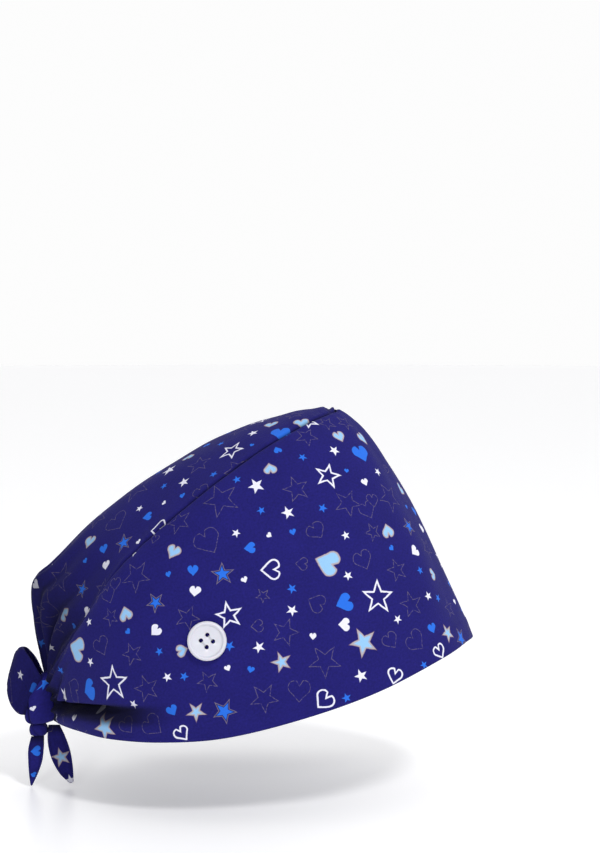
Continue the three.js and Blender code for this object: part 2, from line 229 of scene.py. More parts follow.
def curve(values, place):
    """Catmull-Rom curve through values that have one more at each end."""
    base = np.minimum(np.floor(place).astype(int), len(values) - 4)
    part = place - base
    if values.ndim == 2:
        part = part[:, None]
    a, b, c, d = (values[base + k] for k in range(4))
    bend = part**2 * (2 * a - 5 * b + 4 * c - d)
    twist = part**3 * (3 * b - a - 3 * c + d)
    return 0.5 * (2 * b + part * (c - a) + bend + twist)


def continued(values):
    """The values with one more at each end, straight on."""
    return np.concatenate([[2 * values[0] - values[1]], values, [2 * values[-1] - values[-2]]])


def through(name, place):
    """Curve through one value of every section, as in the CAD; it is mirrored at the brow."""
    values = column_of(SECTIONS, SECTION_COLUMNS, name)
    padded = continued(values)
    padded[0] = -values[1] if name in CHANGE_SIDE else values[1]
    return curve(padded, place)


def section_point(name, place):
    return np.stack([through(f"{name}_{axis}", place) for axis in "xyz"], -1)


def directions(place):
    """Level direction that the cloth faces at each place, and straight up."""
    facing = np.radians(through("facing", place))
    out = np.stack([np.cos(facing), np.sin(facing), 0 * facing], -1)
    return out, np.array([0, 0, 1.0])


def bezier(points, share):
    """Cubic curve; points are four (n, 3) arrays and share is (m,). Returns (n, m, 3)."""
    rest = 1 - share
    weights = (rest**3, 3 * rest**2 * share, 3 * rest * share**2, share**3)
    return sum(p[:, None, :] * w[None, :, None] for p, w in zip(points, weights))


DENSE = np.linspace(0, 1, 241)


def band_lines(place):
    out, up = directions(place)
    rim, seam = section_point("rim", place), section_point("seam", place)
    lean, slope = np.radians(through("lean", place)), np.radians(through("slope", place))
    leaves = -np.sin(lean)[:, None] * out + np.cos(lean)[:, None] * up
    arrives = np.cos(slope)[:, None] * out - np.sin(slope)[:, None] * up
    first = rim + through("rim_reach", place)[:, None] * leaves
    second = seam + through("seam_reach", place)[:, None] * arrives
    return bezier((rim, first, second, seam), DENSE)


def crown_lines(place):
    out, up = directions(place)
    seam = section_point("seam", place)
    slope = np.radians(through("slope", place))
    ridge = np.stack([through("ridge_x", place), 0 * place, through("ridge_z", place)], -1)
    leaves = -np.cos(slope)[:, None] * out + np.sin(slope)[:, None] * up
    first = seam + SEAM_CARRY * seam[:, 1:2] * leaves
    second = ridge + RIDGE_CARRY * seam[:, 1:2] * np.array([0, 1.0, 0])
    return bezier((seam, first, second, ridge), DENSE)


def unit(vectors):
    return vectors / np.linalg.norm(vectors, axis=-1, keepdims=True)


def travelled(points):
    """Distance of every point along a line, from its first."""
    return np.concatenate([[0], np.cumsum(np.linalg.norm(np.diff(points, axis=0), axis=1))])


def climbed(grid):
    """Distance of every point up its column of a grid, from the first row."""
    steps = np.linalg.norm(np.diff(grid, axis=1), axis=2)
    return np.concatenate([np.zeros((len(grid), 1)), np.cumsum(steps, axis=1)], 1)


def at_lengths(line, lengths):
    """Points of a line at distances along it, and its whole length. lengths may be a function."""
    along = travelled(line)
    wanted = lengths(along[-1])
    return np.stack([np.interp(wanted, along, line[:, k]) for k in range(3)], -1), wanted


def smooth(share):
    share = np.clip(share, 0, 1)
    return share**3 * (share * (6 * share - 15) + 10)


def hump(offset):
    return np.where(np.abs(offset) < 1, np.cos(np.clip(offset, -1, 1) * np.pi / 2) ** 2, 0)


def normals_of(grid):
    return unit(np.cross(np.gradient(grid, axis=0), np.gradient(grid, axis=1)))


def undulation(x, y, seed, wavelength, height, waves=7):
    """Soft uneven waves over the cloth, the same on every run."""
    chance = np.random.default_rng(seed)
    total = np.zeros(np.broadcast(x, y).shape)
    for _ in range(waves):
        turn, phase = chance.uniform(0, 2 * np.pi, 2)
        length = wavelength * chance.uniform(0.6, 1.7)
        total += np.sin(2 * np.pi * (x * np.cos(turn) + y * np.sin(turn)) / length + phase)
    return height * total / math.sqrt(waves)


# ---------------------------------------------------------------- the panels

BAND_STEP = 0.0625
BAND_ROWS = 96
CROWN_STEP = 0.05
CROWN_ROWS = 72
TURNED_ROWS = (0.5, 1.2, 2.4, 3.6)
TURNED_LEAN = (0.2, 0.8, 1.6, 2.2)


def band_share(even):
    return 0.72 * even + 0.28 * smooth(even)


def fold_depth(place, height):
    depth = 0
    for first, last, height_first, height_last, deep, half_width in BAND_FOLDS:
        share = np.clip((place - first) / (last - first), 0, 1)
        centre = height_first + (height_last - height_first) * share
        depth = depth + deep * smooth(share) * hump((height - centre) / half_width)
    return depth * (1 - 0.8 * smooth((place - 9.2) / 0.7))


def crown_fold_depth(place, across):
    depth = 0
    for first, last, at, deep, half_width in CROWN_FOLDS:
        share = smooth((place - first) / (last - first))
        depth = depth + deep * share * hump((across - at) / half_width)
    return depth


def band_detail(place, side, height, whole):
    """What the sewn cloth has beyond the CAD's folds: hem, rolled seam edge, puckers and creases."""
    girth = place * 30 * side
    from_seam = whole - height
    hem = 0.35 * (1 - smooth((height - 9) / 1.6))
    roll = -0.9 * (1 - smooth(from_seam / 2.2)) ** 2
    pucker = undulation(girth, 0 * height, 11, 7, 0.32) * np.exp(-from_seam / 6)
    pucker = pucker * smooth(from_seam / 2)
    hem_pucker = undulation(girth, 0 * height, 12, 10, 0.16) * np.exp(-((height - 9) / 4) ** 2)
    soft = undulation(girth, height, 13, 55, 0.5) * smooth(height / 20) * smooth(from_seam / 20)
    crease = 6.5 * smooth((place - 5.6) / 2.6) * hump((height - crease_height(place)) / 5)
    crease = crease * (1 - smooth((place - 9.0) / 0.8))
    gather = rear_gather(place, height, whole)
    return hem + roll + pucker + hem_pucker + soft - crease + gather


def crease_height(place):
    """Height above the rim of the deep crease that runs into the knot."""
    return 15.6 - 1.1 * (place - 6)


def overhang(place, height):
    """How far the cloth above the deep crease hangs down over it."""
    strength = smooth((place - 6.2) / 2.2) * (1 - smooth((place - 9.0) / 0.8))
    return 4.2 * strength * hump((height - crease_height(place) - 4.5) / 6)


def rear_gather(place, height, whole):
    """Fine gathers of the side panel where the tie draws it into the knot."""
    strength = smooth((place - 7.6) / 2.2)
    fan = height / whole
    waves = np.sin(2 * np.pi * (fan * 4.2 + 0.25 * np.sin(place * 2.1)))
    return 1.3 * strength * waves * smooth(fan / 0.3) * smooth((1 - fan) / 0.1)


def band_shade(place, height, whole):
    """Shadow in the deep crease, in the seam's groove and where the tie gathers the cloth."""
    from_seam = whole - height
    drop = height - crease_height(place)
    spread = np.where(drop > 0, 1 - smooth(drop / 3.6), 1 - smooth((-drop - 4.2) / 6))
    crease = smooth((place - 5.5) / 1.3) * spread
    groove = 0.55 * (1 - smooth(from_seam / 1.6))
    at_knot = 0.9 * smooth((place - 9.0) / 0.9)
    waves = rear_gather(place, height, whole)
    gather = np.clip(-waves / 1.3, 0, 1) * 0.75
    upper = 0.55 * smooth((place - 8.0) / 1.6) * smooth((height / whole - 0.45) / 0.4)
    shades = [0.95 * crease, groove + 0 * height, at_knot + 0 * height, gather, upper]
    return np.clip(np.maximum.reduce(shades), 0, 1)


def band_grid():
    """Columns run from the right end at the knot, round the brow, to the left end."""
    signed = np.linspace(-LAST, LAST, round(2 * LAST / BAND_STEP) + 1)
    place, side = np.abs(signed), np.where(signed < 0, -1, 1)
    even = band_share(np.linspace(0, 1, BAND_ROWS + 1))
    rows = [at_lengths(line, lambda whole: even * whole) for line in band_lines(place)]
    plain = np.array([points for points, _ in rows])
    height = np.array([wanted for _, wanted in rows])
    plain[:, :, 1] *= side[:, None]
    whole = height[:, -1:]
    shift = band_detail(place[:, None], side[:, None], height, whole)
    shift = shift - fold_depth(place[:, None], height)
    upwards = unit(np.gradient(plain, axis=1))
    folded = plain + normals_of(plain) * shift[:, :, None]
    folded = folded - upwards * overhang(place[:, None], height)[:, :, None]
    return plain, folded, signed, band_shade(place[:, None], height, whole)


def crown_detail(place, across, reach):
    from_seam = (1 - np.abs(across)) * reach
    along = place * 27
    roll = -0.9 * (1 - smooth(from_seam / 2.2)) ** 2
    pucker = undulation(along, np.sign(across) * 40, 21, 7, 0.3) * np.exp(-from_seam / 5)
    pucker = pucker * smooth(from_seam / 2)
    soft = undulation(along, across * reach, 22, 45, 0.4) * smooth(from_seam / 12)
    gather = crown_gather(place, across) * smooth(from_seam / 6)
    return roll + pucker + soft + gather + apex_tuck(place, across)


def crown_gather(place, across):
    """Gathers of the crown panel that run down into the knot."""
    fan = np.sin(2 * np.pi * (np.abs(across) * 3.1 + 0.2 * np.sin(place * 2.3) + 0.12 * np.sign(across)))
    return 1.7 * smooth((place - 6.6) / 2.4) * fan


def apex_tuck(place, across):
    """Small tucks across the front of the crown panel, where its point is eased into the seam."""
    return 0.9 * hump((place - 0.75) / 0.35) - 0.5 * hump((place - 1.3) / 0.4) + 0 * across


def crown_shade(place, across, reach):
    from_seam = (1 - np.abs(across)) * reach
    groove = 0.55 * (1 - smooth(from_seam / 1.6))
    folds = crown_fold_depth(place, np.abs(across)) / 5
    valleys = np.clip(-crown_gather(place, across) / 1.7, 0, 1) * 0.85
    rear = 0.7 * smooth((place - 6.2) / 3.2) + 0 * across
    tuck = 0.4 * hump((place - 1.25) / 0.4) + 0 * across
    return np.clip(np.maximum.reduce([groove + 0 * place, folds, valleys, rear, tuck]), 0, 0.97)


def crown_grid():
    """Columns run from the brow to the knot; each crosses from the left seam to the right one."""
    place = np.arange(CROWN_START, LAST + 1e-6, CROWN_STEP)
    half = CROWN_ROWS // 2
    across = np.linspace(1, -1, CROWN_ROWS + 1)
    plain, reach = [], []
    for line in crown_lines(place):
        inwards = np.abs(across[: half + 1])
        points, wanted = at_lengths(line, lambda whole: SEAM_GAP + (1 - inwards) * (whole - SEAM_GAP))
        mirrored = points[:-1][::-1] * np.array([1, -1, 1])
        plain.append(np.concatenate([points, mirrored]))
        reach.append(wanted[-1])
    plain = np.array(plain)
    reach = np.array(reach)[:, None]
    shift = crown_detail(place[:, None], across[None, :], reach)
    shift = shift - crown_fold_depth(place[:, None], np.abs(across)[None, :])
    dark = crown_shade(place[:, None], across[None, :], reach)
    return plain, plain + normals_of(plain) * shift[:, :, None], place, dark


def with_turned_edges(grid, cloth, edges, depth_share):
    """Adds seam allowances: rows that turn inwards from the first or last row of the grid.

    The rows lean towards the other panel, so that the two allowances close the seam behind its
    groove. depth_share is the share of their depth that they have in each column.
    """
    normals = normals_of(grid)
    for edge in edges:
        row = 0 if edge == "first" else -1
        before = 1 if row == 0 else -2
        across = unit(grid[:, row] - grid[:, before])
        turned = [grid[:, row] - (normals[:, row] * depth - across * lean) * depth_share[:, None]
                  for depth, lean in zip(TURNED_ROWS, TURNED_LEAN)]
        step = unit(cloth[:, row] - cloth[:, before])
        cut = [cloth[:, row] + step * depth for depth in TURNED_ROWS]
        if row == 0:
            grid = np.concatenate([np.stack(turned[::-1], 1), grid], 1)
            cloth = np.concatenate([np.stack(cut[::-1], 1), cloth], 1)
        else:
            grid = np.concatenate([grid, np.stack(turned, 1)], 1)
            cloth = np.concatenate([cloth, np.stack(cut, 1)], 1)
    return grid, cloth


# ---------------------------------------------------------------- flattening the cloth

def triangles_of(wide, tall):
    index = np.arange(wide * tall).reshape(wide, tall)
    a, b = index[:-1, :-1].ravel(), index[1:, :-1].ravel()
    c, d = index[1:, 1:].ravel(), index[:-1, 1:].ravel()
    return np.concatenate([np.stack([a, b, c], 1), np.stack([a, c, d], 1)])


def flattened(grid, rounds=60):
    """Lays a grid of points flat with as little stretch as it can, as the cut cloth was."""
    wide, tall, _ = grid.shape
    points, triangles = grid.reshape(-1, 3), triangles_of(wide, tall)
    p0, p1, p2 = (points[triangles[:, k]] for k in range(3))
    first = p1 - p0
    length = np.linalg.norm(first, axis=1)
    level = first / length[:, None]
    normal = np.cross(first, p2 - p0)
    rise = np.cross(unit(normal), level)
    shape = np.zeros((len(triangles), 3, 2))
    shape[:, 1, 0] = length
    shape[:, 2] = np.stack([((p2 - p0) * level).sum(1), ((p2 - p0) * rise).sum(1)], 1)
    pairs = [(0, 1, 2), (1, 2, 0), (2, 0, 1)]
    system, weights = np.zeros((len(points), len(points))), []
    for i, j, other in pairs:
        u, v = shape[:, i] - shape[:, other], shape[:, j] - shape[:, other]
        weight = (u * v).sum(1) / np.abs(u[:, 0] * v[:, 1] - u[:, 1] * v[:, 0])
        weight = np.clip(weight, 0.02, None)
        weights.append(weight)
        a, b = triangles[:, i], triangles[:, j]
        for row, col, sign in ((a, a, 1), (b, b, 1), (a, b, -1), (b, a, -1)):
            np.add.at(system, (row, col), sign * weight)
    system[0, 0] += 1e-3 * np.abs(system).max()
    inverse = np.linalg.inv(system)
    flat = flat_start(grid)
    for _ in range(rounds):
        match = np.zeros((len(triangles), 2, 2))
        for (i, j, _), weight in zip(pairs, weights):
            now = flat[triangles[:, i]] - flat[triangles[:, j]]
            match += weight[:, None, None] * now[:, :, None] * (shape[:, i] - shape[:, j])[:, None, :]
        angle = np.arctan2(match[:, 1, 0] - match[:, 0, 1], match[:, 0, 0] + match[:, 1, 1])
        turn = np.stack([np.cos(angle), -np.sin(angle), np.sin(angle), np.cos(angle)], -1)
        turn = turn.reshape(-1, 2, 2)
        right = np.zeros((len(points), 2))
        for (i, j, _), weight in zip(pairs, weights):
            pull = np.einsum("tab,tb->ta", turn, shape[:, i] - shape[:, j]) * weight[:, None]
            np.add.at(right, triangles[:, i], pull)
            np.add.at(right, triangles[:, j], -pull)
        flat = inverse @ right
    return flat.reshape(wide, tall, 2)


def flat_start(grid):
    """First guess of the flat cloth: lengths along and across the grid."""
    middle = grid.shape[1] // 3
    along = np.repeat(travelled(grid[:, middle])[:, None], grid.shape[1], 1)
    return np.stack([along, climbed(grid)], -1).reshape(-1, 2)


def flat_cloth(grid, column_step, row_step):
    """Flat position of every point of a fine grid, worked out on every few columns and rows."""
    coarse = flattened(grid[::column_step, ::row_step])
    wide, tall = coarse.shape[:2]
    columns, rows = np.arange(grid.shape[0]) / column_step, np.arange(grid.shape[1]) / row_step
    part = np.stack([[np.interp(rows, np.arange(tall), line[:, k]) for line in coarse] for k in (0, 1)], -1)
    return np.stack([
        np.stack([np.interp(columns, np.arange(wide), part[:, j, k]) for j in range(len(rows))], 1)
        for k in (0, 1)
    ], -1)


def turned(points, degrees):
    c, s = math.cos(math.radians(degrees)), math.sin(math.radians(degrees))
    return points @ np.array([[c, s], [-s, c]])


def level_direction(grid, flat, i, j):
    """Direction on the flat cloth of a line that is level and runs forwards on the worn cap."""
    along, up = grid[i + 1, j] - grid[i - 1, j], grid[i, j + 1] - grid[i, j - 1]
    a, b = up[2], -along[2]
    level = a * (flat[i + 1, j] - flat[i - 1, j]) + b * (flat[i, j + 1] - flat[i, j - 1])
    forwards = a * along[0] + b * up[0]
    return unit(level * np.sign(forwards))


# ---------------------------------------------------------------- meshes

def added(name, data):
    obj = bpy.data.objects.new(name, data)
    bpy.context.scene.collection.objects.link(obj)
    return obj


def mesh_object(name, points, faces, material):
    mesh = bpy.data.meshes.new(name)
    mesh.from_pydata((np.asarray(points) * MM).tolist(), [], [list(map(int, f)) for f in faces])
    mesh.materials.append(material)
    mesh.polygons.foreach_set("use_smooth", np.ones(len(mesh.polygons), bool))
    mesh.update()
    return added(name, mesh)


def ring_faces(count, sides):
    """Faces between closed rings of points that follow each other."""
    k, i = (a.ravel() for a in np.meshgrid(np.arange(count - 1), np.arange(sides), indexing="ij"))
    on = (i + 1) % sides
    corners = [k * sides + i, k * sides + on, (k + 1) * sides + on, (k + 1) * sides + i]
    return np.stack(corners, 1).tolist()


def capped(name, rings, material):
    """Closed body through rings of points, with one flat face at each end."""
    count, sides = rings.shape[:2]
    low, high = list(range(sides)), [(count - 1) * sides + j for j in range(sides)]
    faces = ring_faces(count, sides) + [low[::-1], high]
    return mesh_object(name, rings.reshape(-1, 3), faces, material)


def corner_values(mesh, name, values):
    """Stores three numbers for every face corner."""
    store = mesh.attributes.new(name, "FLOAT_VECTOR", "CORNER")
    store.data.foreach_set("vector", np.ascontiguousarray(values, np.float32).ravel())


def motif_list():
    """All motifs of one repeat as (x, y, reach, unit, turn, heart, look)."""
    found = []
    for heart, table in ((0, STARS), (1, HEARTS)):
        for look, rows in table.items():
            for x, y, size, turn in rows:
                reach = 0.56 * size if heart else size
                unit = size / HEART_WIDTH if heart else size
                found.append((x, y, reach, unit, turn, heart, LOOKS.index(look)))
    return np.array(found)


# A heart of unit size is this wide and has its tip this far below its centre.
HEART_WIDTH = 1.207
HEART_TIP = 0.55
CLEFT_ANGLE = math.radians(30)
CLEFT_FOOT = 0.84
STAR_WAIST = 0.42
# How far a motif may reach outside its repeat.
MARGIN = 15


def print_on(obj, chart, shade):
    """Gives every face the motif nearest to it: where it lies on the motif, its kind and look.

    chart is the place of every vertex on the print, in millimetres. shade is how far each one
    lies in the shadow of a fold, from 0 to 1.
    """
    mesh = obj.data
    corners = np.empty(len(mesh.loops), np.int32)
    mesh.loops.foreach_get("vertex_index", corners)
    sizes = np.empty(len(mesh.polygons), np.int32)
    mesh.polygons.foreach_get("loop_total", sizes)
    face_of = np.repeat(np.arange(len(sizes)), sizes)
    at = chart[corners]
    centre = np.stack([np.bincount(face_of, at[:, k]) / sizes for k in (0, 1)], -1)
    motifs, repeat = motif_list(), np.array(REPEAT)
    tile = np.floor(centre / repeat)
    inside = centre - tile * repeat
    best, nearest = np.full(len(centre), np.inf), np.zeros((len(centre), 7))
    for motif in motifs:
        for across in (-1, 0, 1):
            for up in (-1, 0, 1):
                place = motif[:2] - np.floor(motif[:2] / repeat) * repeat + repeat * (across, up)
                if (place < -MARGIN).any() or (place > repeat + MARGIN).any():
                    continue
                gap = np.hypot(*(inside - place).T) - motif[2]
                closer = gap < best
                best[closer] = gap[closer]
                nearest[closer] = [*place, *motif[2:]]
    local = at - (nearest[:, :2] + tile * repeat)[face_of]
    turn = np.radians(nearest[:, 4])[face_of]
    x = local[:, 0] * np.cos(turn) + local[:, 1] * np.sin(turn)
    y = local[:, 1] * np.cos(turn) - local[:, 0] * np.sin(turn)
    corner_values(mesh, "motif_place", np.stack([x, y, nearest[:, 3][face_of]], -1))
    seed = (nearest[:, 0] * 7.3 + nearest[:, 1] * 3.1) % 10
    looks = np.stack([nearest[:, 5], nearest[:, 6], seed], -1)[face_of]
    corner_values(mesh, "motif_look", looks)
    corner_values(mesh, "cloth_place", np.concatenate([at, 0 * at[:, :1]], 1))
    dark = shade[corners]
    corner_values(mesh, "fold_shade", np.stack([dark, dark, dark], -1))


def bake_map(mesh, places):
    layer = mesh.uv_layers.new(name="OFBake")
    layer.data.foreach_set("uv", np.ascontiguousarray(places, np.float32).ravel())


def island(share_x, share_y, box):
    """Corner places of one island: shares from 0 to 1 laid into box (left, bottom, right, top)."""
    left, bottom, right, top = box
    return np.stack([left + share_x * (right - left), bottom + share_y * (top - bottom)], -1)


def shell(name, outer, cloth, shade, wall, materials, islands):
    """Closed cloth shell with a rounded edge. wall is the thickness at every point of the grid,
    and shade how far it lies in the shadow of a fold, from 0 to 1.

    islands gives the bake map's boxes for the outside, the inside and the edges; the outside and
    inside may be in several parts, one above the other, each with its share of the columns.
    """
    inner = outer - normals_of(outer) * wall[:, :, None]
    wide, tall = outer.shape[:2]
    middle = (outer + inner) / 2
    bulge = 0.35
    low = middle[:, 0] + (middle[:, 0] - middle[:, 1]) * bulge
    points = np.concatenate([outer.reshape(-1, 3), inner.reshape(-1, 3), low])
    count = wide * tall
    i, j = (a.ravel() for a in np.meshgrid(np.arange(wide - 1), np.arange(tall - 1), indexing="ij"))
    at = i * tall + j
    front = np.stack([at, at + tall, at + tall + 1, at + 1], 1)
    back = np.stack([at, at + 1, at + tall + 1, at + tall], 1) + count
    faces, places = [front, back], []
    shares = (i / (wide - 1), (i + 1) / (wide - 1), j / (tall - 1), (j + 1) / (tall - 1))
    orders = {"outside": ((0, 2), (1, 2), (1, 3), (0, 3)), "inside": ((0, 2), (0, 3), (1, 3), (1, 2))}
    for side, order in orders.items():
        boxes = islands[side]
        part = np.minimum((shares[0] * len(boxes) + 1e-6).astype(int), len(boxes) - 1)
        box = np.array(boxes)[part].T
        corners = [island(shares[a] * len(boxes) - part, shares[b], box) for a, b in order]
        places.append(np.stack(corners, 1))
    k = np.arange(wide - 1)
    start = 2 * count
    bottom_out = np.stack([k * tall, start + k, start + k + 1, (k + 1) * tall], 1)
    bottom_in = np.stack([start + k, count + k * tall, count + (k + 1) * tall, start + k + 1], 1)
    here, there = k * tall + tall - 1, (k + 1) * tall + tall - 1
    crest = np.stack([here, there, count + there, count + here], 1)
    r = np.arange(tall - 1)
    first = np.stack([r, r + 1, count + r + 1, count + r], 1)
    end = (wide - 1) * tall
    last = np.stack([end + r, count + end + r, count + end + r + 1, end + r + 1], 1)
    edges = [bottom_out, bottom_in, crest, first, last]
    left, low_edge, right, high_edge = islands["edges"]
    for number, strip in enumerate(edges):
        faces.append(strip)
        share = np.arange(len(strip)) / len(strip)
        after = share + 1 / len(strip)
        height = (high_edge - low_edge) / len(edges)
        box = (left, low_edge + height * number, right, low_edge + height * (number + 0.8))
        ends = [island(share, 0 * share, box), island(share, 0 * share + 1, box)]
        ends += [island(after, 0 * share + 1, box), island(after, 0 * share, box)]
        places.append(np.stack(ends, 1))
    faces = np.concatenate(faces)
    obj = mesh_object(name, points, faces, materials[0])
    obj.data.materials.append(materials[1])
    inside = np.zeros(len(faces), np.int32)
    inside[len(front): 2 * len(front)] = 1
    obj.data.polygons.foreach_set("material_index", inside)
    chart = cloth.reshape(-1, 2)
    dark = shade.ravel()
    print_on(obj, np.concatenate([chart, chart, cloth[:, 0]]), np.concatenate([dark, dark, shade[:, 0]]))
    bake_map(obj.data, np.concatenate(places).reshape(-1, 2))
    return obj


# ---------------------------------------------------------------- shader arithmetic

class Term:
    """A number in a material, with ordinary arithmetic."""

    def __init__(self, tree, socket):
        self.tree, self.socket = tree, socket

    def math(self, operation, *others, clamp=False):
        node = self.tree.nodes.new("ShaderNodeMath")
        node.operation, node.use_clamp = operation, clamp
        for place, value in enumerate((self, *others)):
            if isinstance(value, Term):
                self.tree.links.new(value.socket, node.inputs[place])
            else:
                node.inputs[place].default_value = value
        return Term(self.tree, node.outputs[0])

    def __add__(self, other):
        return self.math("ADD", other)

    def __sub__(self, other):
        return self.math("SUBTRACT", other)

    def __mul__(self, other):
        return self.math("MULTIPLY", other)

    def __truediv__(self, other):
        return self.math("DIVIDE", other)

    def __neg__(self):
        return self.math("MULTIPLY", -1)

    def size(self):
        return self.math("ABSOLUTE")

    def least(self, other):
        return self.math("MINIMUM", other)

    def most(self, other):
        return self.math("MAXIMUM", other)

    def sine(self):
        return self.math("SINE")

    def clamped(self):
        return self.math("ADD", 0, clamp=True)

    def is_number(self, number):
        return self.math("COMPARE", number, 0.4)

    def above(self, edge, soft):
        """1 where the number is above edge and 0 below, with a soft step between them."""
        return ((self - edge) / (2 * soft) + 0.5).clamped()

    def below(self, edge, soft):
        return (-(self - edge) / (2 * soft) + 0.5).clamped()

    def chosen(self, if_one, if_zero):
        return if_zero + (if_one - if_zero) * self


def length_of(x, y):
    return (x * x + y * y).math("SQRT")


def attribute(tree, name):
    node = tree.nodes.new("ShaderNodeAttribute")
    node.attribute_name = name
    split = tree.nodes.new("ShaderNodeSeparateXYZ")
    tree.links.new(node.outputs["Vector"], split.inputs[0])
    return node.outputs["Vector"], [Term(tree, split.outputs[k]) for k in range(3)]


def noise(tree, place, scale, detail=2.0):
    """Noise from 0 to 1; scale is in waves per unit of place."""
    node = tree.nodes.new("ShaderNodeTexNoise")
    node.inputs["Scale"].default_value = scale
    node.inputs["Detail"].default_value = detail
    tree.links.new(place, node.inputs["Vector"])
    return Term(tree, node.outputs["Fac"])


def mixed(tree, share, base, ink):
    """Colour socket: base where share is 0 and ink where it is 1."""
    node = tree.nodes.new("ShaderNodeMix")
    node.data_type = "RGBA"
    tree.links.new(share.socket, node.inputs[0])
    for place, colour in ((6, base), (7, ink)):
        if isinstance(colour, tuple):
            node.inputs[place].default_value = colour
        else:
            tree.links.new(colour, node.inputs[place])
    return node.outputs[2]


def star_distance(x, y):
    """Distance to a five-pointed star of unit radius with one tip along +Y; negative inside."""
    sector, waist = 2 * math.pi / 5, STAR_WAIST
    angle = x.math("ARCTAN2", y).math("PINGPONG", sector / 2)
    radius = length_of(x, y)
    across, up = radius * angle.math("COSINE"), radius * angle.sine()
    edge = (waist * math.cos(sector / 2) - 1, waist * math.sin(sector / 2))
    size = math.hypot(*edge)
    return (across - 1) * (edge[1] / size) - up * (edge[0] / size)


def heart_distance(x, y):
    """Distance to a heart of unit size with its tip along -Y; negative inside."""
    across, up = x.size(), y + HEART_TIP
    lobe = length_of(across - 0.25, up - 0.75) - math.sqrt(2) / 4
    corner = (across + up).most(0) * 0.5
    low = length_of(across, up - 1).least(length_of(across - corner, up - corner))
    low = low * (across - up).math("SIGN")
    whole = (across + up).above(1, 0.001).chosen(lobe, low)
    notch = (up - CLEFT_FOOT) * math.sin(CLEFT_ANGLE) - across * math.cos(CLEFT_ANGLE)
    return whole.most(notch)


def printed_colour(tree, cloth_colour, strength):
    """The print over a cloth colour. strength is 1 on the face and less on the reverse."""
    _, (x, y, unit) = attribute(tree, "motif_place")
    _, (heart, look, seed) = attribute(tree, "motif_look")
    place, _ = attribute(tree, "cloth_place")
    waver_x = (noise(tree, place, 0.16) - 0.5) * 1.1
    waver_y = (noise(tree, place, 0.19) - 0.5) * 1.1
    x, y = (x + waver_x) / unit, (y + waver_y) / unit
    distance = heart.chosen(heart_distance(x, y), star_distance(x, y)) * unit
    distance = distance + (noise(tree, place, 1.3) - 0.5) * 0.18
    soft = 0.11
    worn = (noise(tree, place, 2.2, 3.0) - 0.5) * 0.25
    fill = distance.below(0, soft)
    shrunk = distance.below(-0.55, soft)
    thin = distance.size().below(0.13, soft)
    thick = (distance + 0.3).size().below(0.4, soft)
    edge = (distance + 0.25).size().below(0.4, 0.2)
    broken = noise(tree, place, 0.85, 3.0).above(0.46, 0.06)
    shows = {name: look.is_number(LOOKS.index(name)) for name in LOOKS}
    white = shows["white_line"] * thick + shows["white"] * fill
    light = shows["light_gold"] * fill
    blue = shows["blue"] * fill + shows["blue_gold"] * shrunk
    tips = length_of(x, y).above(0.66, 0.12) * (heart * -1 + 1) * fill
    gold = shows["light_gold"] * (edge * 0.7).most(tips * 0.75)
    line = shows["blue_gold"] * thin * 0.7 + shows["dotted"] * thin * (broken * 0.36 + 0.08)
    colour = cloth_colour
    for share, ink in ((light, "light"), (blue, "blue"), (white, "white"), (gold, "gold"), (line, "line")):
        cover = (share * strength * (worn + 0.93)).clamped()
        colour = mixed(tree, cover, colour, linear(INK[ink]))
    return colour, (light + blue + white).clamped()


THREAD_PITCH = 0.56


def weave(tree):
    """Height of a plain weave in the cloth's own directions, with slubs."""
    place, (along, across, _) = attribute(tree, "cloth_place")
    warp = (along * (2 * math.pi / THREAD_PITCH)).sine()
    weft = (across * (2 * math.pi / THREAD_PITCH)).sine()
    threads = warp * weft
    slub = noise(tree, place, 0.9, 4.0) - 0.5
    return threads, slub, place


def new_material(name):
    material = bpy.data.materials.new(name)
    material.use_nodes = True
    tree = material.node_tree
    return material, tree, tree.nodes["Principled BSDF"]


def add_bump(tree, shader, height, strength, depth):
    bump = tree.nodes.new("ShaderNodeBump")
    bump.inputs["Strength"].default_value = strength
    bump.inputs["Distance"].default_value = depth * MM
    tree.links.new(height.socket, bump.inputs["Height"])
    tree.links.new(bump.outputs[0], shader.inputs["Normal"])


def scaled(base, share):
    return tuple(min(c * share, 1) for c in linear(base)[:3]) + (1,)


def cloth_material(name, base, strength, sheen):
    material, tree, shader = new_material(name)
    threads, slub, place = weave(tree)
    shade = noise(tree, place, 0.045, 3.0) * 0.34 + threads * 0.12 + slub * 0.9 + 0.8
    ground = mixed(tree, (shade - 0.5).clamped(), scaled(base, 0.5), scaled(base, 1.5))
    colour, inked = printed_colour(tree, ground, strength)
    _, (fold, _, _) = attribute(tree, "fold_shade")
    colour = mixed(tree, (fold * 0.9).clamped(), colour, FOLD_SHADE)
    tree.links.new(colour, shader.inputs["Base Color"])
    rough = (slub * 0.12 - inked * 0.1 + 0.84).clamped()
    tree.links.new(rough.socket, shader.inputs["Roughness"])
    shader.inputs["Sheen Weight"].default_value = sheen
    shader.inputs["Sheen Roughness"].default_value = 0.5
    shader.inputs["Specular IOR Level"].default_value = 0.12
    add_bump(tree, shader, threads * 0.5 + slub * 1.6 + inked * 0.12, 0.5, 0.12)
    return material


